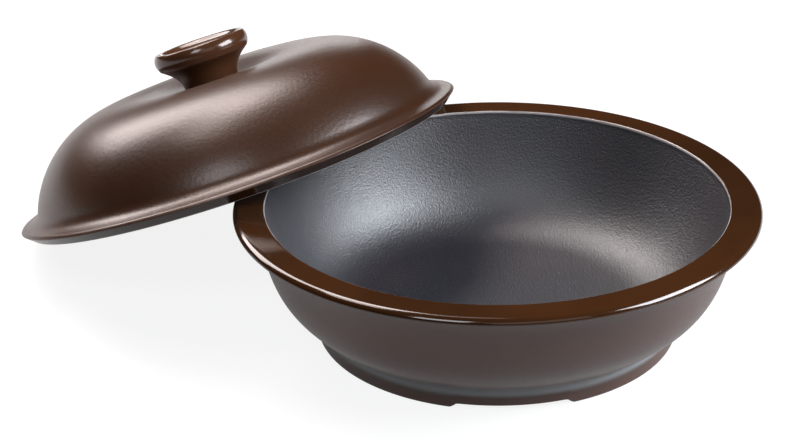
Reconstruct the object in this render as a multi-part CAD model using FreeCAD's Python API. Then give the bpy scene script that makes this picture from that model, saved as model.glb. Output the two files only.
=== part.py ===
import FreeCAD, Part
import math
import os

# Sweet potato roasting pot: a wide glazed bowl on a notched foot ring, and its domed lid, which
# leans against the bowl with one edge on the table and the other over the bowl's rim.
# Millimetres, +Z up. The origin is the centre of the bowl's foot on the table, and -Y is the front.

# Bowl: rim, neck under the rim, wall and floor
POT_HEIGHT = 79.0
RIM_RADIUS = 150.0
RIM_WIDTH = 18.0
RIM_THICKNESS = 3.2
RIM_OVERHANG = 6.6
RIM_EDGE_WIDTH = 6.8
RIM_EDGE_DROP = 1.5
LIP_BEVEL = 1.9
NECK_LEAN = 36.6
INSIDE_LEAN = 17.5
FLOOR_HEIGHT = 12.0
FLOOR_INSET = 28.0
FLOOR_SWEEP = 34.0

# Foot ring, where HAUNCH_SLOPE is the belly's rise as it leaves the foot
FOOT_RADIUS = 104.6
FOOT_HEIGHT = 11.3
FOOT_DRAFT = 1.6
FOOT_RING_WIDTH = 14.0
FOOT_RECESS = 3.6
FOOT_BEVEL = 1.4
COVE_REACH = 4.7
HAUNCH_SLOPE = 34.0

# Bites in the foot ring's outer edge, with bevelled ends
NOTCH_COUNT = 3
NOTCH_DIRECTION = -85.0
NOTCH_ANGLE = 33.0
NOTCH_BEVEL = 2.2
NOTCH_HEIGHT = 2.6
NOTCH_BITE = 9.0

# Lid: edge band, conical seat, flange swept up into the dome, crest and the dimple inside it
LID_RADIUS = 142.8
EDGE_BEVEL = 1.6
BAND_HEIGHT = 7.1
BAND_TAPER = 6.3
BAND_BEVEL = 0.8
SEAT_WIDTH = 15.0
SEAT_SLOPE = 8.3
FLANGE_WIDTH = 13.2
FLANGE_RISE = 5.4
FLANGE_SLOPE = 8.6
DOME_WALL_ANGLE = 69.3
CREST_RADIUS = 60.0
CREST_HEIGHT = 53.8
DIMPLE_DEPTH = 6.8
DIMPLE_SLOPE = 6.0
LID_WALL = 7.6

# Knob, one piece with the lid
KNOB_HEIGHT = 28.0
KNOB_RADIUS = 30.3
KNOB_RING_THICKNESS = 10.8
KNOB_RING_CURVE = 1.9
KNOB_LIP_BEVEL = 1.0
KNOB_CREASE = 1.1
KNOB_NECK_RADIUS = 17.2
KNOB_UNDERSIDE_SLOPE = 35.0
DISH_RADIUS = 18.5
DISH_DEPTH = 4.4
DISH_LIP_SLOPE = 40.0

# The lid at rest beside the bowl
LEAN_ANGLE = 21.7
LEAN_DIRECTION = 145.0
REST_GAP = 0.3
REST_TOLERANCE = 0.002

# Straight strips in the short sweeps and in the lid's hollow
RIM_EDGE_STRIPS = 5
COVE_STRIPS = 4
DIMPLE_STRIPS = 6
FLANGE_STRIPS = 4
HOLLOW_STRIPS = 8

# How full each curve is: its handle's reach as a share of the curve's height or width
BELLY_UPPER_REACH = 0.42
BELLY_LOWER_REACH = 0.585
RIM_EDGE_REACH = 0.55
COVE_CURVE_REACH = 0.65
INSIDE_UPPER_REACH = 0.57
DOME_SIDE_REACH = 0.39
DOME_TOP_REACH = 0.6
HOLLOW_SIDE_REACH = 0.53
HOLLOW_TOP_REACH = 0.62
FLANGE_REACH = 0.45
DIMPLE_REACH = 0.45
NECK_UPPER_REACH = 0.4
NECK_LOWER_REACH = 0.5
DISH_REACH = 0.5

ORIGIN = FreeCAD.Vector(0, 0, 0)
UP = FreeCAD.Vector(0, 0, 1)


def point(radius, height):
    """A point of a section in the XZ plane."""
    return FreeCAD.Vector(radius, 0, height)


def shifted(start, angle, length):
    """The point at this distance from start, at an angle in degrees above the outward radius."""
    turn = math.radians(angle)
    return start + FreeCAD.Vector(length * math.cos(turn), 0, length * math.sin(turn))


def line(start, end):
    return Part.LineSegment(start, end).toShape()


def arc(start, middle, end):
    return Part.Arc(start, middle, end).toShape()


def curve(start, start_handle, end_handle, end):
    bezier = Part.BezierCurve()
    bezier.setPoles([start, start_handle, end_handle, end])
    return bezier.toShape()


def chain(*points):
    """The straight edges from each point to the next."""
    return [line(start, end) for start, end in zip(points, points[1:])]


def strips(edge, count):
    """A curve as straight strips, for a short sweep or one that is out of sight."""
    return chain(*edge.discretize(Number=count + 1))


def eased(before, corner, after, size):
    """The two ends of the bevel that takes this much off each side of a corner."""
    return [corner + (neighbour - corner).normalize() * size for neighbour in (before, after)]


def turned(edges):
    """The solid that a closed section makes when it is turned about the Z axis."""
    return Part.Face(Part.Wire(edges)).revolve(ORIGIN, UP, 360)


def quarter(level, upright):
    """The poles of a quarter of an ellipse that starts level and comes upright to its end."""
    across = point(RIM_EDGE_REACH * (upright.x - level.x), 0)
    down = point(0, RIM_EDGE_REACH * (upright.z - level.z))
    return [level, level + across, upright - down, upright]


def make_bowl():
    """The bowl's turned body: recessed base, foot ring, belly, flat rim, inside wall and floor."""
    rim_bottom = POT_HEIGHT - RIM_THICKNESS
    mouth_radius = RIM_RADIUS - RIM_WIDTH
    foot_inner = FOOT_RADIUS - FOOT_RING_WIDTH

    base_centre = point(0, FOOT_RECESS)
    recess_corner = point(foot_inner - FOOT_DRAFT, FOOT_RECESS)
    foot_inside = point(foot_inner, 0)
    foot_outside = point(FOOT_RADIUS, 0)
    haunch = point(FOOT_RADIUS - FOOT_DRAFT, FOOT_HEIGHT)
    neck = point(RIM_RADIUS - RIM_OVERHANG, rim_bottom)
    rim_outside = point(RIM_RADIUS, POT_HEIGHT - RIM_EDGE_DROP)
    rim_shoulder = point(RIM_RADIUS - RIM_EDGE_WIDTH, POT_HEIGHT)
    lip_outside = point(mouth_radius + LIP_BEVEL, POT_HEIGHT)
    lip_inside = point(mouth_radius, POT_HEIGHT - LIP_BEVEL)
    floor_edge = point(FOOT_RADIUS - FLOOR_INSET, FLOOR_HEIGHT)
    floor_centre = point(0, FLOOR_HEIGHT)

    foot_top = eased(foot_outside, haunch, neck, COVE_REACH)[0]
    cove_end = shifted(haunch, HAUNCH_SLOPE, COVE_REACH)
    belly_height = neck.z - cove_end.z
    inside_height = lip_inside.z - floor_edge.z
    cove = curve(
        foot_top,
        foot_top + (haunch - foot_top) * COVE_CURVE_REACH,
        cove_end + (haunch - cove_end) * COVE_CURVE_REACH,
        cove_end,
    )
    belly = curve(
        cove_end,
        shifted(cove_end, HAUNCH_SLOPE, BELLY_LOWER_REACH * belly_height),
        shifted(neck, 270 - NECK_LEAN, BELLY_UPPER_REACH * belly_height),
        neck,
    )
    inside = curve(
        lip_inside,
        shifted(lip_inside, 270 - INSIDE_LEAN, INSIDE_UPPER_REACH * inside_height),
        shifted(floor_edge, 0, FLOOR_SWEEP),
        floor_edge,
    )
    foot = chain(
        base_centre,
        recess_corner,
        *eased(recess_corner, foot_inside, foot_outside, FOOT_BEVEL),
        *eased(foot_inside, foot_outside, haunch, FOOT_BEVEL),
        foot_top,
    )
    edge_below = curve(*quarter(neck, rim_outside))
    edge_above = curve(*reversed(quarter(rim_shoulder, rim_outside)))
    rim = [
        *strips(edge_below, RIM_EDGE_STRIPS),
        *strips(edge_above, RIM_EDGE_STRIPS),
        *chain(rim_shoulder, lip_outside, lip_inside),
    ]
    floor = chain(floor_edge, floor_centre, base_centre)
    return turned([*foot, *strips(cove, COVE_STRIPS), belly, *rim, inside, *floor])


def notch_outline(half_angle, height):
    """A level sector across the foot ring's outer edge, this far to each side of the X axis."""
    turn = math.radians(half_angle)
    corners = []
    for radius in (FOOT_RADIUS - NOTCH_BITE, FOOT_RADIUS + NOTCH_BITE):
        for side in (-turn, 0, turn):
            corners.append(FreeCAD.Vector(radius * math.cos(side), radius * math.sin(side), height))
    inner_left, inner_middle, inner_right, outer_left, outer_middle, outer_right = corners
    return Part.Wire(
        [
            arc(inner_left, inner_middle, inner_right),
            line(inner_right, outer_right),
            arc(outer_right, outer_middle, outer_left),
            line(outer_left, inner_left),
        ]
    )


def make_pot():
    """The bowl, fired in one piece with its foot ring, with the bites cut out of the ring."""
    pot = make_bowl()
    half = NOTCH_ANGLE / 2
    low = notch_outline(half + NOTCH_BEVEL, -NOTCH_HEIGHT)
    high = notch_outline(half, NOTCH_HEIGHT)
    bite = Part.makeLoft([low, high], True, True)
    for number in range(NOTCH_COUNT):
        turn = NOTCH_DIRECTION + number * 360 / NOTCH_COUNT
        pot = pot.cut(bite.rotated(ORIGIN, UP, turn))
    return pot


def make_lid():
    """The lid with its knob, fired in one piece: level, with the flange's outer edge at height 0."""
    flange_edge = point(LID_RADIUS - EDGE_BEVEL, 0)
    band_top = point(LID_RADIUS, -EDGE_BEVEL)
    band_bottom = point(LID_RADIUS - BAND_TAPER, -BAND_HEIGHT)
    seat_drop = SEAT_WIDTH * math.tan(math.radians(SEAT_SLOPE))
    seat_inside = point(band_bottom.x - SEAT_WIDTH, band_bottom.z - seat_drop)
    flange_root = point(LID_RADIUS - FLANGE_WIDTH, FLANGE_RISE)
    crest = point(CREST_RADIUS, CREST_HEIGHT)
    dimple = point(KNOB_NECK_RADIUS, CREST_HEIGHT - DIMPLE_DEPTH)
    hollow_crest = point(CREST_RADIUS, crest.z - LID_WALL)
    hollow_centre = point(0, dimple.z - LID_WALL)

    dome_reach = DOME_TOP_REACH * (flange_root.x - crest.x)
    wall_reach = DOME_SIDE_REACH * (crest.z - flange_root.z)
    dimple_reach = DIMPLE_REACH * (crest.x - dimple.x)
    flange_reach = FLANGE_REACH * (flange_edge.x - flange_root.x)
    hollow_side = HOLLOW_SIDE_REACH * (hollow_crest.z - seat_inside.z)
    hollow_top = HOLLOW_TOP_REACH * (seat_inside.x - hollow_crest.x)

    flange = curve(
        flange_root,
        shifted(flange_root, -DOME_WALL_ANGLE, flange_reach),
        shifted(flange_edge, 180 - FLANGE_SLOPE, flange_reach),
        flange_edge,
    )
    dimple_sweep = curve(
        dimple,
        shifted(dimple, DIMPLE_SLOPE, dimple_reach),
        shifted(crest, 180, dimple_reach),
        crest,
    )
    outside = [
        *strips(dimple_sweep, DIMPLE_STRIPS),
        curve(
            crest,
            shifted(crest, 0, dome_reach),
            shifted(flange_root, 180 - DOME_WALL_ANGLE, wall_reach),
            flange_root,
        ),
        *strips(flange, FLANGE_STRIPS),
    ]
    band = chain(
        flange_edge,
        band_top,
        *eased(band_top, band_bottom, seat_inside, BAND_BEVEL),
        seat_inside,
    )
    inside = curve(
        seat_inside,
        shifted(seat_inside, 90, hollow_side),
        shifted(hollow_crest, 0, hollow_top),
        hollow_crest,
    )
    knob = knob_outline(dimple)
    middle = chain(hollow_crest, hollow_centre, knob[0].Vertexes[0].Point)
    return turned([*knob, *outside, *band, *strips(inside, HOLLOW_STRIPS), *middle])


def knob_outline(neck_foot):
    """The knob's half outline, from the middle of its dish over the ring and down to the neck's foot."""
    top = neck_foot.z + KNOB_HEIGHT
    ring_bottom = point(KNOB_RADIUS - KNOB_RING_CURVE, top - KNOB_RING_THICKNESS)
    crease = shifted(ring_bottom, 180 + KNOB_UNDERSIDE_SLOPE, KNOB_CREASE)
    ring_top = point(KNOB_RADIUS - KNOB_RING_CURVE, top - KNOB_LIP_BEVEL)
    ring_middle = point(KNOB_RADIUS, (ring_top.z + ring_bottom.z) / 2)
    lip_outside = point(ring_top.x - KNOB_LIP_BEVEL, top)
    lip_inside = point(lip_outside.x - KNOB_LIP_BEVEL, top - KNOB_LIP_BEVEL / 2)
    dish_centre = point(0, top - DISH_DEPTH)
    dish_edge = point(DISH_RADIUS, dish_centre.z)
    dish_reach = DISH_REACH * (lip_inside.x - dish_edge.x)
    neck_height = crease.z - neck_foot.z
    return [
        line(dish_centre, dish_edge),
        curve(
            dish_edge,
            shifted(dish_edge, 0, dish_reach),
            shifted(lip_inside, 180 + DISH_LIP_SLOPE, dish_reach),
            lip_inside,
        ),
        *chain(lip_inside, lip_outside, ring_top),
        arc(ring_top, ring_middle, ring_bottom),
        line(ring_bottom, crease),
        curve(
            crease,
            shifted(crease, 180 + KNOB_UNDERSIDE_SLOPE, NECK_UPPER_REACH * neck_height),
            shifted(neck_foot, 90, NECK_LOWER_REACH * neck_height),
            neck_foot,
        ),
    ]


def leaned(lid, pot):
    """The lid tipped away from the bowl, low edge on the table, slid in until it lies on the rim."""
    direction = math.radians(LEAN_DIRECTION)
    outward = FreeCAD.Vector(math.cos(direction), math.sin(direction), 0)
    lid = lid.rotated(ORIGIN, UP.cross(outward), LEAN_ANGLE)
    lid.translate(UP * -lid.optimalBoundingBox().ZMin)

    def clearance(slide):
        return lid.translated(outward * slide).distToShape(pot)[0] - REST_GAP

    before = RIM_RADIUS + LID_RADIUS
    slide = before - clearance(before)
    error_before = clearance(before)
    error = clearance(slide)
    while abs(error) > REST_TOLERANCE:
        step = error * (slide - before) / (error - error_before)
        before = slide
        error_before = error
        slide = slide - step
        error = clearance(slide)
    return lid.translated(outward * slide)


os.makedirs("parts", exist_ok=True)
pot = make_pot()
lid = leaned(make_lid(), pot)
for name, shape in (("pot", pot), ("lid", lid)):
    shape.exportStep("parts/" + name + ".step")
    print(name, shape.isValid(), len(shape.Solids), "solid,", round(shape.Volume / 1000, 1), "cm3")
print("gap between lid and rim", round(lid.distToShape(pot)[0], 3), "mm")
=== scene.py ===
import math

import bpy
import numpy as np
from mathutils import Matrix, Quaternion, Vector


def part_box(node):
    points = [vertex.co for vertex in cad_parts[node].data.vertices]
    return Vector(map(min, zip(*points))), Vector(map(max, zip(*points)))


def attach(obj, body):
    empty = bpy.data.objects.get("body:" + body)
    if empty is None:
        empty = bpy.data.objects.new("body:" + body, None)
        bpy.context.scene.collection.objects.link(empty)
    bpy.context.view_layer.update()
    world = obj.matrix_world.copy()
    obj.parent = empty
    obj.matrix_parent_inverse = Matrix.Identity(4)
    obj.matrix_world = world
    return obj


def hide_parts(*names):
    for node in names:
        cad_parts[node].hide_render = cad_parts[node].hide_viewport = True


# The looks of the roasting pot: the bowl and its leaning lid, each turned from its section with
# soft edges and its own glazes. Lengths of the sections are in millimetres, all others in metres.
# Rim edge, cove, flange and dish are up to 3 mm softer or fuller than in the solids.
MM = 0.001

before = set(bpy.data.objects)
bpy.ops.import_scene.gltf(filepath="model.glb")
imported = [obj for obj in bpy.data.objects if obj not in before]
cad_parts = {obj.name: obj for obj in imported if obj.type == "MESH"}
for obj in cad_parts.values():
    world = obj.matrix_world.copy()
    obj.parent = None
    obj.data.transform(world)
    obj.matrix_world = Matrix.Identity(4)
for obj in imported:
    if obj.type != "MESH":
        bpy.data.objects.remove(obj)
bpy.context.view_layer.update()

# Bowl
POT_HEIGHT = 79.0
RIM_RADIUS = 150.0
RIM_WIDTH = 18.0
RIM_THICKNESS = 4.6
RIM_OVERHANG = 6.6
RIM_EDGE_WIDTH = 3.6
RIM_EDGE_DROP = 3.3
LIP_BEVEL = 1.9
NECK_LEAN = 36.6
INSIDE_LEAN = 17.5
FLOOR_HEIGHT = 12.0
FLOOR_INSET = 28.0
FLOOR_SWEEP = 34.0
FOOT_RADIUS = 104.6
FOOT_HEIGHT = 11.3
FOOT_DRAFT = 1.6
FOOT_RING_WIDTH = 14.0
FOOT_RECESS = 3.6
COVE_REACH = 7.2
HAUNCH_SLOPE = 34.0

# Bites in the foot ring
NOTCH_COUNT = 3
NOTCH_DIRECTION = -85.0
NOTCH_ANGLE = 33.0
NOTCH_BEVEL = 2.6
NOTCH_HEIGHT = 2.6
NOTCH_BITE = 9.0
NOTCH_FADE = 9.0
NOTCH_BLUR = 0.5

# Lid
LID_RADIUS = 142.8
EDGE_BEVEL = 1.6
BAND_HEIGHT = 7.1
BAND_TAPER = 6.3
SEAT_WIDTH = 15.0
SEAT_SLOPE = 8.3
FLANGE_WIDTH = 14.3
FLANGE_RISE = 8.4
FLANGE_SLOPE = 8.6
DOME_WALL_ANGLE = 69.3
CREST_RADIUS = 60.0
CREST_HEIGHT = 53.8
DIMPLE_DEPTH = 6.8
DIMPLE_SLOPE = 6.0
LID_WALL = 7.6
KNOB_HEIGHT = 27.84
KNOB_RADIUS = 30.3
KNOB_RING_THICKNESS = 10.8
KNOB_RING_CURVE = 1.9
KNOB_CREASE = 1.1
KNOB_NECK_RADIUS = 17.2
KNOB_UNDERSIDE_SLOPE = 35.0
KNOB_LIP_WIDTH = 2.6
KNOB_LIP_DROP = 0.3
DISH_RADIUS = 18.5
DISH_DEPTH = 3.0
DISH_LIP_SLOPE = 40.0
LEAN_ANGLE = 21.7
LEAN_DIRECTION = 145.0

# How far the handles of the curves reach, as shares of what each curve spans
RIM_LEVEL_PULL = 0.45
RIM_UPRIGHT_PULL = 0.5
COVE_PULL = 0.65
BELLY_FOOT_PULL = 0.585
BELLY_NECK_PULL = 0.42
INSIDE_PULL = 0.57
DISH_PULL = 0.5
KNOB_CREASE_PULL = 0.4
KNOB_NECK_PULL = 0.5
DIMPLE_PULL = 0.45
DOME_PULL = 0.6
WALL_PULL = 0.39
FLANGE_PULL = 0.45
HOLLOW_SIDE_PULL = 0.53
HOLLOW_TOP_PULL = 0.62

# How far the rounding of each corner reaches
RECESS_ROUND = 1.5
FOOT_INSIDE_ROUND = 1.6
FOOT_OUTSIDE_ROUND = 1.8
NECK_ROUND = 0.9
LIP_ROUND = 1.7
DISH_ROUND = 1.0
KNOB_TOP_ROUND = 1.6
KNOB_BOTTOM_ROUND = 1.2
CREASE_ROUND = 0.5
DIMPLE_ROUND = 2.5
LID_EDGE_ROUND = 0.7
BAND_ROUND = 1.0
SEAT_ROUND = 1.2
LARGEST_TRIM = 0.48

# How finely the sections are turned
TURN_STEPS = 360
POINT_SPACING = 2.4
SMALL_CURVE_SPACING = 0.8
RIM_SPACING = 0.7
SMALLEST_GAP = 0.05
CORNER_POINTS = 6
ARC_POINTS = 9
CURVE_POINTS = 8
CURVE_DENSITY = 1.3


def at(radius, height):
    """A point of a section: radius and height in millimetres."""
    return np.array([radius, height], float)


def shifted(start, angle, length):
    """The point at this distance from start, at an angle in degrees above the outward radius."""
    turn = math.radians(angle)
    return start + length * np.array([math.cos(turn), math.sin(turn)])


def unit(vector):
    return vector / np.linalg.norm(vector)


def distances(outline):
    """How far along an outline each of its points lies."""
    return np.concatenate([[0], np.cumsum(np.linalg.norm(np.diff(outline, axis=0), axis=1))])


def straight(start, end):
    """Evenly spaced points along a line."""
    count = max(2, math.ceil(np.linalg.norm(end - start) / POINT_SPACING) + 1)
    share = np.linspace(0, 1, count)[:, None]
    return start * (1 - share) + end * share


def curved(start, start_handle, end_handle, end, spacing=POINT_SPACING):
    """Points along a cubic curve."""
    length = np.linalg.norm(start_handle - start) + np.linalg.norm(end - end_handle)
    length = max(length, np.linalg.norm(end - start))
    count = max(CURVE_POINTS, math.ceil(CURVE_DENSITY * length / spacing))
    t = np.linspace(0, 1, count)[:, None]
    return (
        (1 - t) ** 3 * start
        + 3 * (1 - t) ** 2 * t * start_handle
        + 3 * (1 - t) * t**2 * end_handle
        + t**3 * end
    )


def quarter(level, upright):
    """Points along a quarter turn that starts level and ends upright."""
    across = at(RIM_LEVEL_PULL * (upright[0] - level[0]), 0)
    down = at(0, RIM_UPRIGHT_PULL * (upright[1] - level[1]))
    return curved(level, level + across, upright - down, upright, spacing=RIM_SPACING)


def bulged(start, end, bulge):
    """Points along a shallow arc that stands off the line from start to end, to its right."""
    along = unit(end - start)
    across = np.array([along[1], -along[0]])
    share = np.linspace(0, 1, ARC_POINTS)[:, None]
    return start * (1 - share) + end * share + 4 * bulge * share * (1 - share) * across


def trimmed(stretch, reach):
    """The stretch without its first reach millimetres."""
    run = distances(stretch)
    reach = min(reach, LARGEST_TRIM * run[-1])
    first = np.array([np.interp(reach, run, stretch[:, axis]) for axis in (0, 1)])
    return np.concatenate([[first], stretch[run > reach + SMALLEST_GAP]])


def joined(*parts):
    """One outline from stretches, with the reach of each corner's rounding between them."""
    stretches = list(parts[0::2])
    outline = [stretches[0]]
    for reach, stretch in zip(parts[1::2], parts[2::2]):
        before = outline.pop()
        if reach:
            corner = before[-1]
            before = trimmed(before[::-1], reach)[::-1]
            stretch = trimmed(stretch, reach)
            t = np.linspace(0, 1, CORNER_POINTS + 1)[1:-1, None]
            a, b = before[-1], stretch[0]
            outline.append(before)
            outline.append((1 - t) ** 2 * a + 2 * (1 - t) * t * corner + t**2 * b)
            outline.append(stretch)
        else:
            outline.append(before)
            outline.append(stretch[1:])
    return np.concatenate(outline)


def marked(outline, corner):
    """How far along the outline its nearest point to a corner lies, in millimetres."""
    return float(distances(outline)[np.argmin(np.linalg.norm(outline - corner, axis=1))])


def turned(name, outline, raised=None, clockwise=False):
    """A mesh turned about Z from an outline that starts and ends on the axis.

    Its vertices carry "along", the distance along the outline in millimetres."""
    run = distances(outline)
    turns = np.linspace(0, 2 * math.pi, TURN_STEPS, endpoint=False)
    rings = outline[1:-1]
    radius, angle = np.meshgrid(rings[:, 0], turns, indexing="ij")
    height = np.repeat(rings[:, 1:2], TURN_STEPS, 1)
    if raised:
        height = raised(radius, height, angle)
    points = np.stack([radius * np.cos(angle), radius * np.sin(angle), height], 2).reshape(-1, 3)
    ends = [[0, 0, outline[0, 1]], [0, 0, outline[-1, 1]]]
    points = np.concatenate([points, ends]) * MM
    first, last = len(points) - 2, len(points) - 1
    top = (len(rings) - 1) * TURN_STEPS
    sides = [(step, (step + 1) % TURN_STEPS) for step in range(TURN_STEPS)]
    faces = []
    for low in range(0, top, TURN_STEPS):
        high = low + TURN_STEPS
        faces += [(low + step, low + after, high + after, high + step) for step, after in sides]
    for step, after in sides:
        faces.append((first, after, step))
        faces.append((last, top + step, top + after))
    if clockwise:
        faces = [face[::-1] for face in faces]
    mesh = bpy.data.meshes.new(name)
    mesh.from_pydata(points.tolist(), [], faces)
    along = np.concatenate([np.repeat(run[1:-1], TURN_STEPS), [run[0], run[-1]]])
    attribute = mesh.attributes.new("along", "FLOAT", "POINT")
    attribute.data.foreach_set("value", along.astype(np.float32))
    mesh.polygons.foreach_set("use_smooth", [True] * len(faces))
    mesh.update()
    piece = bpy.data.objects.new(name, mesh)
    bpy.context.scene.collection.objects.link(piece)
    return piece


def lined(piece, start, material):
    """Gives the faces from this distance along the outline onwards a second material."""
    mesh = piece.data
    along = np.empty(len(mesh.vertices), np.float32)
    mesh.attributes["along"].data.foreach_get("value", along)
    mesh.materials.append(material)
    for face in mesh.polygons:
        face.material_index = int(min(along[corner] for corner in face.vertices) >= start)


def bowl_outline():
    """The bowl's outline, from under its middle over foot, belly and rim, and in to the floor."""
    rim_bottom = POT_HEIGHT - RIM_THICKNESS
    mouth = RIM_RADIUS - RIM_WIDTH
    foot_inner = FOOT_RADIUS - FOOT_RING_WIDTH
    base_centre = at(0, FOOT_RECESS)
    recess_corner = at(foot_inner - FOOT_DRAFT, FOOT_RECESS)
    foot_inside = at(foot_inner, 0)
    bite_edge = at(FOOT_RADIUS - NOTCH_BITE, 0)
    foot_outside = at(FOOT_RADIUS, 0)
    haunch = at(FOOT_RADIUS - FOOT_DRAFT, FOOT_HEIGHT)
    neck = at(RIM_RADIUS - RIM_OVERHANG, rim_bottom)
    rim_outside = at(RIM_RADIUS, POT_HEIGHT - RIM_EDGE_DROP)
    rim_shoulder = at(RIM_RADIUS - RIM_EDGE_WIDTH, POT_HEIGHT)
    lip = at(mouth, POT_HEIGHT)
    lip_inside = at(mouth, POT_HEIGHT - LIP_BEVEL)
    floor_edge = at(FOOT_RADIUS - FLOOR_INSET, FLOOR_HEIGHT)
    floor_centre = at(0, FLOOR_HEIGHT)
    foot_top = haunch + COVE_REACH * unit(foot_outside - haunch)
    cove_end = shifted(haunch, HAUNCH_SLOPE, COVE_REACH)
    belly_height = neck[1] - cove_end[1]
    inside_height = lip_inside[1] - FLOOR_HEIGHT
    cove = curved(
        foot_top,
        foot_top + COVE_PULL * (haunch - foot_top),
        cove_end + COVE_PULL * (haunch - cove_end),
        cove_end,
        spacing=SMALL_CURVE_SPACING,
    )
    belly = curved(
        cove_end,
        shifted(cove_end, HAUNCH_SLOPE, BELLY_FOOT_PULL * belly_height),
        shifted(neck, 270 - NECK_LEAN, BELLY_NECK_PULL * belly_height),
        neck,
    )
    inside = curved(
        lip_inside,
        shifted(lip_inside, 270 - INSIDE_LEAN, INSIDE_PULL * inside_height),
        shifted(floor_edge, 0, FLOOR_SWEEP),
        floor_edge,
    )
    outline = joined(
        straight(base_centre, recess_corner),
        RECESS_ROUND,
        straight(recess_corner, foot_inside),
        FOOT_INSIDE_ROUND,
        straight(foot_inside, bite_edge),
        0,
        straight(bite_edge, foot_outside),
        FOOT_OUTSIDE_ROUND,
        straight(foot_outside, foot_top),
        0,
        cove,
        0,
        belly,
        NECK_ROUND,
        quarter(neck, rim_outside),
        0,
        quarter(rim_shoulder, rim_outside)[::-1],
        0,
        straight(rim_shoulder, lip),
        LIP_ROUND,
        straight(lip, lip_inside),
        0,
        inside,
        0,
        straight(floor_edge, floor_centre),
    )
    corners = {"cove": haunch, "neck": neck, "lip": lip, "foot": foot_inside}
    return outline, {name: marked(outline, corner) for name, corner in corners.items()}


def bitten(radius, height, angle):
    """The heights of the bowl's points, with the foot ring's outer edge lifted in the bites."""
    pitch = 2 * math.pi / NOTCH_COUNT
    middle = math.radians(NOTCH_DIRECTION)
    off = np.abs((angle - middle + pitch / 2) % pitch - pitch / 2)
    inside = 1 - (np.degrees(off) - NOTCH_ANGLE / 2) / NOTCH_BEVEL
    depth = np.clip(inside, 0, 1)
    depth = depth * depth * (3 - 2 * depth)
    edge = np.clip((radius - FOOT_RADIUS + NOTCH_BITE + NOTCH_BLUR) / (2 * NOTCH_BLUR), 0, 1)
    fade = np.clip(1 - height / NOTCH_FADE, 0, 1)
    return height + NOTCH_HEIGHT * depth * edge * fade


def lid_outline():
    """The level lid's outline, from the dish of its knob out over the dome, and in under it."""
    flange_edge = at(LID_RADIUS - EDGE_BEVEL, 0)
    band_top = at(LID_RADIUS, -EDGE_BEVEL)
    band_bottom = at(LID_RADIUS - BAND_TAPER, -BAND_HEIGHT)
    seat_drop = SEAT_WIDTH * math.tan(math.radians(SEAT_SLOPE))
    seat_inside = band_bottom - at(SEAT_WIDTH, seat_drop)
    flange_root = at(LID_RADIUS - FLANGE_WIDTH, FLANGE_RISE)
    crest = at(CREST_RADIUS, CREST_HEIGHT)
    dimple = at(KNOB_NECK_RADIUS, CREST_HEIGHT - DIMPLE_DEPTH)
    hollow_crest = at(CREST_RADIUS, CREST_HEIGHT - LID_WALL)
    hollow_centre = at(0, dimple[1] - LID_WALL)

    top = dimple[1] + KNOB_HEIGHT
    ring_bottom = at(KNOB_RADIUS - KNOB_RING_CURVE, top - KNOB_RING_THICKNESS)
    crease = shifted(ring_bottom, 180 + KNOB_UNDERSIDE_SLOPE, KNOB_CREASE)
    ring_top = at(KNOB_RADIUS - KNOB_RING_CURVE, top)
    lip_inside = at(ring_top[0] - KNOB_LIP_WIDTH, top - KNOB_LIP_DROP)
    dish_centre = at(0, top - DISH_DEPTH)
    dish_edge = at(DISH_RADIUS, top - DISH_DEPTH)
    dish_reach = DISH_PULL * (lip_inside[0] - dish_edge[0])
    neck_height = crease[1] - dimple[1]
    dimple_reach = DIMPLE_PULL * (crest[0] - dimple[0])
    dome_reach = DOME_PULL * (flange_root[0] - crest[0])
    wall_reach = WALL_PULL * (crest[1] - flange_root[1])
    flange_reach = FLANGE_PULL * FLANGE_WIDTH
    hollow_side = HOLLOW_SIDE_PULL * (hollow_crest[1] - seat_inside[1])
    hollow_top = HOLLOW_TOP_PULL * (seat_inside[0] - hollow_crest[0])
    outline = joined(
        straight(dish_centre, dish_edge),
        0,
        curved(
            dish_edge,
            shifted(dish_edge, 0, dish_reach),
            shifted(lip_inside, 180 + DISH_LIP_SLOPE, dish_reach),
            lip_inside,
        ),
        DISH_ROUND,
        straight(lip_inside, ring_top),
        KNOB_TOP_ROUND,
        bulged(ring_top, ring_bottom, -KNOB_RING_CURVE),
        KNOB_BOTTOM_ROUND,
        straight(ring_bottom, crease),
        CREASE_ROUND,
        curved(
            crease,
            shifted(crease, 180 + KNOB_UNDERSIDE_SLOPE, KNOB_CREASE_PULL * neck_height),
            shifted(dimple, 90, KNOB_NECK_PULL * neck_height),
            dimple,
        ),
        DIMPLE_ROUND,
        curved(
            dimple,
            shifted(dimple, DIMPLE_SLOPE, dimple_reach),
            shifted(crest, 180, dimple_reach),
            crest,
        ),
        0,
        curved(
            crest,
            shifted(crest, 0, dome_reach),
            shifted(flange_root, 180 - DOME_WALL_ANGLE, wall_reach),
            flange_root,
        ),
        0,
        curved(
            flange_root,
            shifted(flange_root, -DOME_WALL_ANGLE, flange_reach),
            shifted(flange_edge, 180 - FLANGE_SLOPE, flange_reach),
            flange_edge,
            spacing=SMALL_CURVE_SPACING,
        ),
        LID_EDGE_ROUND,
        straight(flange_edge, band_top),
        LID_EDGE_ROUND,
        straight(band_top, band_bottom),
        BAND_ROUND,
        straight(band_bottom, seat_inside),
        SEAT_ROUND,
        curved(
            seat_inside,
            shifted(seat_inside, 90, hollow_side),
            shifted(hollow_crest, 0, hollow_top),
            hollow_crest,
        ),
        0,
        straight(hollow_crest, hollow_centre),
    )
    corners = {"neck": dimple, "edge": band_top, "band_bottom": band_bottom, "seat": seat_inside}
    return outline, {name: marked(outline, corner) for name, corner in corners.items()}


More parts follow.
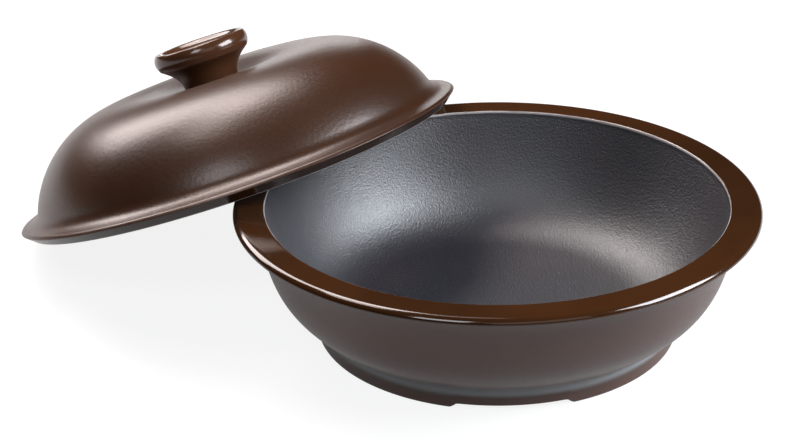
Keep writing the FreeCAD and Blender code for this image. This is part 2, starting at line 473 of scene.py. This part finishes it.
class Nodes:
    """A node material in the making."""

    def __init__(self, name):
        self.material = bpy.data.materials.new(name)
        self.material.use_nodes = True
        self.tree = self.material.node_tree
        self.tree.nodes.clear()
        self.surface = self.add("ShaderNodeOutputMaterial").inputs["Surface"]

    def add(self, kind, **settings):
        made = self.tree.nodes.new(kind)
        for key, value in settings.items():
            setattr(made, key, value)
        return made

    def feed(self, socket, value):
        """Links another node's output to the socket, or writes a plain value on it."""
        if isinstance(value, bpy.types.NodeSocket):
            self.tree.links.new(value, socket)
        else:
            socket.default_value = value

    def calc(self, operation, *values):
        made = self.add("ShaderNodeMath", operation=operation)
        for socket, value in zip(made.inputs, values):
            self.feed(socket, value)
        return made.outputs[0]

    def ramp(self, value, low, high, to_low=0.0, to_high=1.0):
        """A smooth step from to_low to to_high as the value goes from low to high."""
        made = self.add("ShaderNodeMapRange", interpolation_type="SMOOTHSTEP")
        for socket, amount in zip(made.inputs, (value, low, high, to_low, to_high)):
            self.feed(socket, amount)
        return made.outputs[0]


class Glaze(Nodes):
    """A Principled material, coloured by place and by the distance along the outline."""

    def __init__(self, name):
        super().__init__(name)
        self.shader = self.add("ShaderNodeBsdfPrincipled")
        self.feed(self.surface, self.shader.outputs[0])
        self.place = self.add("ShaderNodeTexCoord").outputs["Object"]
        self.along = self.add("ShaderNodeAttribute", attribute_name="along").outputs["Fac"]

    def noise(self, scale, detail=2.0, roughness=0.5):
        made = self.add("ShaderNodeTexNoise")
        self.feed(made.inputs["Vector"], self.place)
        self.feed(made.inputs["Scale"], scale)
        self.feed(made.inputs["Detail"], detail)
        self.feed(made.inputs["Roughness"], roughness)
        return made.outputs["Fac"]

    def specks(self, scale, size):
        """1 inside small round spots scattered at random, and 0 elsewhere."""
        made = self.add("ShaderNodeTexVoronoi")
        self.feed(made.inputs["Vector"], self.place)
        self.feed(made.inputs["Scale"], scale)
        return self.ramp(made.outputs["Distance"], size, 0.5 * size)

    def wander(self, width):
        """A distance that varies over the surface, which makes the edge of a glaze uneven."""
        return self.calc("MULTIPLY", self.calc("SUBTRACT", self.noise(60, 3), 0.5), width)

    def between(self, start, end, blur, wander):
        """1 where the outline's distance lies between start and end, with a wandering edge."""
        along = self.calc("ADD", self.along, wander)
        rise = self.ramp(along, start - blur, start + blur)
        fall = self.ramp(along, end - blur, end + blur, 1.0, 0.0)
        return self.calc("MULTIPLY", rise, fall)

    def mix(self, share, first, second):
        """A blend of two numbers."""
        made = self.add("ShaderNodeMix", data_type="FLOAT")
        for place, value in ((0, share), (2, first), (3, second)):
            self.feed(made.inputs[place], value)
        return made.outputs[0]

    def blend(self, share, first, second):
        """A blend of two colours."""
        made = self.add("ShaderNodeMix", data_type="RGBA")
        self.feed(made.inputs[0], share)
        for place, value in ((6, first), (7, second)):
            plain = isinstance(value, tuple)
            self.feed(made.inputs[place], (*value, 1.0) if plain else value)
        return made.outputs[2]

    def bump(self, height, distance, strength=1.0, after=None):
        made = self.add("ShaderNodeBump")
        self.feed(made.inputs["Distance"], distance)
        self.feed(made.inputs["Strength"], strength)
        self.feed(made.inputs["Height"], height)
        if after:
            self.feed(made.inputs["Normal"], after)
        return made.outputs[0]

    def finish(self, colour, roughness, normal, specular, tint=(1.0, 1.0, 1.0)):
        self.feed(self.shader.inputs["Base Color"], colour)
        self.feed(self.shader.inputs["Roughness"], roughness)
        self.feed(self.shader.inputs["Normal"], normal)
        self.feed(self.shader.inputs["Specular IOR Level"], specular)
        self.feed(self.shader.inputs["Specular Tint"], (*tint, 1.0))
        return self.material


# Colours of the glazes
AMBER = (0.034, 0.0118, 0.0038)
AMBER_DARK = (0.020, 0.0073, 0.0026)
UMBER = (0.066, 0.033, 0.025)
UMBER_PALE = (0.082, 0.044, 0.035)
CHARCOAL = (0.0085, 0.0085, 0.0135)
CHARCOAL_WARM = (0.0175, 0.0125, 0.0165)
LIP_PALE = (0.36, 0.32, 0.31)
COCOA = (0.038, 0.0134, 0.0050)
COCOA_DARK = (0.026, 0.0092, 0.0035)
# Painted sheen: a pale colour standing in for the floor's reflection in the cove
PAINTED_COVE_SHEEN = (0.38, 0.39, 0.405)
KNOB_BROWN = (0.052, 0.020, 0.009)
CLAY = (0.33, 0.29, 0.26)
BOWL_SHEEN = (1.0, 0.94, 0.92)
LID_SHEEN = (1.0, 0.90, 0.87)

# Roughness of the glazes: one value, or how far it varies
RIM_ROUGHNESS = (0.09, 0.13)
BELLY_ROUGHNESS = (0.34, 0.42)
INSIDE_ROUGHNESS = (0.40, 0.48)
DOME_ROUGHNESS = (0.30, 0.37)
LIP_ROUGHNESS = 0.3
KNOB_ROUGHNESS = 0.17
BAND_ROUGHNESS = 0.2
HOLLOW_ROUGHNESS = 0.42
FOOT_CLAY_ROUGHNESS = 0.8
SEAT_CLAY_ROUGHNESS = 0.75

# Depth of the bumps, in metres
SOFT_BUMP = 0.0006
GRAIN_BUMP = 0.0002
DOME_BUMP = 0.0003
PEEL_BUMP = 0.0004


def bowl_glaze(marks):
    """Glossy amber rim over a satin umber belly, with a pale lip and a painted sheen in the cove.
    """
    g = Glaze("bowl_glaze")
    wander = g.wander(1.2)
    rim = g.between(marks["neck"] + 0.3, marks["lip"] + 4.0, 0.35, wander)
    lip = g.between(marks["lip"] - 0.2, marks["lip"] + 4.0, 0.3, wander)
    under = g.ramp(g.along, marks["foot"] + 1.0, marks["foot"] - 1.0)
    from_cove = g.calc("SUBTRACT", g.along, marks["cove"])
    cove = g.calc("MULTIPLY", g.ramp(from_cove, -5.0, 0.0), g.ramp(from_cove, 16.0, 1.0))
    cloud = g.noise(9, 3)
    grain = g.noise(900, 3, 0.6)

    outside = g.blend(g.ramp(cloud, 0.35, 0.7), UMBER, UMBER_PALE)
    outside = g.blend(g.ramp(grain, 0.62, 0.75, 0.0, 0.25), outside, AMBER_DARK)
    # Painted sheen: the cove and the belly just above it are paled where the floor's reflection
    # falls
    outside = g.blend(cove, outside, PAINTED_COVE_SHEEN)
    amber = g.blend(g.ramp(cloud, 0.3, 0.7), AMBER_DARK, AMBER)
    colour = g.blend(rim, outside, amber)
    colour = g.blend(lip, colour, LIP_PALE)
    colour = g.blend(under, colour, CLAY)

    satin = g.ramp(grain, 0.3, 0.7, *BELLY_ROUGHNESS)
    gloss = g.ramp(g.noise(25, 2), 0.3, 0.7, *RIM_ROUGHNESS)
    roughness = g.mix(rim, satin, gloss)
    roughness = g.mix(lip, roughness, LIP_ROUGHNESS)
    roughness = g.mix(under, roughness, FOOT_CLAY_ROUGHNESS)

    soft = g.bump(g.noise(30, 2), SOFT_BUMP, 0.25)
    skin = g.bump(grain, GRAIN_BUMP, g.mix(rim, 0.12, 0.015), soft)
    return g.finish(colour, roughness, skin, specular=0.5, tint=BOWL_SHEEN)


def inside_glaze(marks):
    """Charcoal satin with a fine orange peel and a few pits, pale where it leaves the lip."""
    g = Glaze("inside_glaze")
    along = g.calc("ADD", g.along, g.wander(0.8))
    lip = g.ramp(along, marks["lip"] + 1.5, marks["lip"] + 0.9)
    peel = g.noise(900, 2.5, 0.6)
    pits = g.specks(95, 0.055)

    colour = g.blend(g.ramp(g.noise(14, 2), 0.4, 0.7), CHARCOAL, CHARCOAL_WARM)
    colour = g.blend(g.ramp(peel, 0.5, 0.75, 0.0, 0.35), colour, CHARCOAL_WARM)
    colour = g.blend(lip, colour, LIP_PALE)
    roughness = g.ramp(peel, 0.3, 0.7, *INSIDE_ROUGHNESS)
    soft = g.bump(g.noise(30, 2), SOFT_BUMP, 0.3)
    skin = g.bump(peel, PEEL_BUMP, 0.9, soft)
    dents = g.bump(g.calc("MULTIPLY", pits, -1.0), SOFT_BUMP, 0.8, skin)
    return g.finish(colour, roughness, dents, specular=1.0)


def lid_glaze(marks):
    """Satin cocoa dome, glossy knob, and a glossier edge band darkened with painted shade, with a
    pale line along its foot.
    """
    g = Glaze("lid_glaze")
    wander = g.wander(1.0)
    along = g.calc("ADD", g.along, wander)
    knob = g.ramp(along, marks["neck"] + 1.0, marks["neck"] - 1.0)
    edge = g.between(marks["edge"] + 0.3, marks["band_bottom"] - 0.4, 0.4, wander)
    foot_line = g.between(marks["band_bottom"] - 0.7, marks["band_bottom"] + 0.6, 0.35, wander)
    under = g.ramp(g.along, marks["band_bottom"] + 0.6, marks["band_bottom"] + 2.0)
    hollow = g.ramp(g.along, marks["seat"], marks["seat"] + 2.0)
    cloud = g.noise(10, 3)
    grain = g.noise(1000, 3, 0.6)
    peel = g.noise(420, 2, 0.5)

    colour = g.blend(g.ramp(cloud, 0.3, 0.7), COCOA_DARK, COCOA)
    colour = g.blend(g.ramp(grain, 0.62, 0.78, 0.0, 0.3), colour, COCOA_DARK)
    colour = g.blend(knob, colour, KNOB_BROWN)
    # Painted shade: the edge band, which faces down and out, is given a darker colour
    colour = g.blend(edge, colour, AMBER_DARK)
    colour = g.blend(under, colour, CLAY)
    colour = g.blend(foot_line, colour, LIP_PALE)
    colour = g.blend(hollow, colour, COCOA_DARK)

    satin = g.ramp(grain, 0.3, 0.7, *DOME_ROUGHNESS)
    roughness = g.mix(knob, satin, KNOB_ROUGHNESS)
    roughness = g.mix(edge, roughness, BAND_ROUGHNESS)
    roughness = g.mix(under, roughness, SEAT_CLAY_ROUGHNESS)
    roughness = g.mix(hollow, roughness, HOLLOW_ROUGHNESS)

    soft = g.bump(g.noise(28, 2), SOFT_BUMP, 0.25)
    skin = g.bump(peel, DOME_BUMP, g.mix(knob, 0.3, 0.05), soft)
    return g.finish(colour, roughness, skin, specular=0.5, tint=LID_SHEEN)


def lean():
    """Where the leaning lid's own frame stands: the centre of its edge, and how it is turned."""
    lid_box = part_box("lid")
    direction, tip = math.radians(LEAN_DIRECTION), math.radians(LEAN_ANGLE)
    outward = Vector((math.cos(direction), math.sin(direction), 0))
    upward = Vector((0, 0, 1))
    axis = math.sin(tip) * outward + math.cos(tip) * upward
    turn = Matrix.Rotation(tip, 4, upward.cross(outward))
    radius, drop = LID_RADIUS * MM, EDGE_BEVEL * MM
    x = lid_box[0].x + radius * math.sqrt(1 - axis.x**2) + axis.x * drop
    y = lid_box[1].y - radius * math.sqrt(1 - axis.y**2) + axis.y * drop
    return x, y, turn


def lowest(outline):
    """How far below its own origin the tipped lid reaches, in metres."""
    tip = math.radians(LEAN_ANGLE)
    return float((outline[:, 0] * math.sin(tip) - outline[:, 1] * math.cos(tip)).max()) * MM


bowl_section, bowl_marks = bowl_outline()
pot = turned("glazed_pot", bowl_section, raised=bitten)
pot.data.materials.append(bowl_glaze(bowl_marks))
lined(pot, bowl_marks["lip"] + 0.2, inside_glaze(bowl_marks))
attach(pot, "root")
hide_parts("pot")

lid_section, lid_marks = lid_outline()
lid = turned("glazed_lid", lid_section, clockwise=True)
lid.data.materials.append(lid_glaze(lid_marks))
lid_x, lid_y, lid_turn = lean()
lid.data.transform(Matrix.Translation((lid_x, lid_y, lowest(lid_section))) @ lid_turn)
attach(lid, "root")
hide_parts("lid")

# The floor: its glow to the camera and in the glazes, and its paleness as seen and as mirrored
FLOOR_SIZE = 6.0
FLOOR_GAP = 0.0002
FLOOR_GLOW = 0.87
FLOOR_GLOW_IN_GLAZE = 0.42
FLOOR_PALENESS = 0.14
FLOOR_PALENESS_MIRRORED = 0.32

# The lamps
LAMP_TARGET = Vector((-0.05, 0.03, 0.06))
LAMP_DISTANCE = 1.6
WARM = (1.0, 0.93, 0.91)
COOL = (0.88, 0.94, 1.0)
WORLD_STRENGTH = 0.01


def make_floor():
    """A pale floor that shows white to the camera and in the glazes, and keeps the shadow."""
    s = FLOOR_SIZE
    mesh = bpy.data.meshes.new("floor")
    mesh.from_pydata([(-s, -s, 0), (s, -s, 0), (s, s, 0), (-s, s, 0)], [], [(0, 1, 2, 3)])
    floor = bpy.data.objects.new("floor", mesh)
    bpy.context.scene.collection.objects.link(floor)
    floor.location.z = -FLOOR_GAP
    m = Nodes("pale_floor")
    path = m.add("ShaderNodeLightPath")
    in_glaze = path.outputs["Is Glossy Ray"]
    matt = m.add("ShaderNodeBsdfDiffuse")
    paleness = m.ramp(in_glaze, 0.0, 1.0, FLOOR_PALENESS, FLOOR_PALENESS_MIRRORED)
    m.feed(matt.inputs["Color"], paleness)
    glow = m.add("ShaderNodeEmission")
    mirrored = m.calc("MULTIPLY", in_glaze, FLOOR_GLOW_IN_GLAZE)
    seen = m.calc("MULTIPLY_ADD", path.outputs["Is Camera Ray"], FLOOR_GLOW, mirrored)
    m.feed(glow.inputs["Strength"], seen)
    both = m.add("ShaderNodeAddShader")
    m.feed(both.inputs[0], matt.outputs[0])
    m.feed(both.inputs[1], glow.outputs[0])
    m.feed(m.surface, both.outputs[0])
    floor.data.materials.append(m.material)


def softbox(name, azimuth, elevation, width, height, radiance, colour=(1, 1, 1), roll=0):
    """A flat lamp that faces the object from a direction in degrees.

    It is as bright as a surface of this radiance."""
    a, e = math.radians(azimuth), math.radians(elevation)
    away = Vector((math.cos(e) * math.cos(a), math.cos(e) * math.sin(a), math.sin(e)))
    lamp = bpy.data.lights.new(name, "AREA")
    lamp.shape = "RECTANGLE"
    lamp.size, lamp.size_y = width, height
    lamp.energy = radiance * math.pi * width * height
    lamp.color = colour
    facing = away.to_track_quat("Z", "Y") @ Quaternion((0, 0, 1), math.radians(roll))
    stand = bpy.data.objects.new(name, lamp)
    stand.location = LAMP_TARGET + LAMP_DISTANCE * away
    stand.rotation_mode = "QUATERNION"
    stand.rotation_quaternion = facing
    bpy.context.scene.collection.objects.link(stand)


make_floor()
softbox("key_rear_left", 131, 41, width=0.68, height=1.45, radiance=11.0, colour=WARM, roll=30)
softbox("key_upper", 104, 62, width=0.5, height=0.4, radiance=3.0, colour=WARM)
softbox("above", 150, 62, width=0.8, height=0.42, radiance=9.0, colour=WARM)
softbox("rear_low", 99, 5, width=0.5, height=0.25, radiance=3.2)
softbox("right", -9, 34, width=1.0, height=0.72, radiance=24.5, colour=COOL)
softbox("front_left", -112, 44, width=0.5, height=0.5, radiance=9.4, colour=COOL)
softbox("front", -70, 34, width=1.0, height=0.7, radiance=0.9)

world = bpy.data.worlds.new("studio")
world.use_nodes = True
background = world.node_tree.nodes["Background"]
background.inputs["Color"].default_value = (1, 1, 1, 1)
background.inputs["Strength"].default_value = WORLD_STRENGTH
bpy.context.scene.world = world
bpy.context.scene.view_settings.view_transform = "Standard"

# The photograph's camera, fitted to the rim, the mouth and the foot
LENS = 90.0
SENSOR_WIDTH = 36.0
CAMERA_PLACE = (0, -1.03898, 0.54939)
CAMERA_YAW = -3.038
CAMERA_PITCH = 24.978
CAMERA_ROLL = 1.236
lens = bpy.data.cameras.new("camera")
lens.lens = LENS
lens.sensor_width = SENSOR_WIDTH
camera = bpy.data.objects.new("camera", lens)
camera.matrix_world = (
    Matrix.Translation(CAMERA_PLACE)
    @ Matrix.Rotation(math.radians(-CAMERA_YAW), 4, "Z")
    @ Matrix.Rotation(math.radians(90 - CAMERA_PITCH), 4, "X")
    @ Matrix.Rotation(math.radians(-CAMERA_ROLL), 4, "Z")
)
bpy.context.scene.collection.objects.link(camera)
bpy.context.scene.camera = camera

bpy.context.view_layer.update()
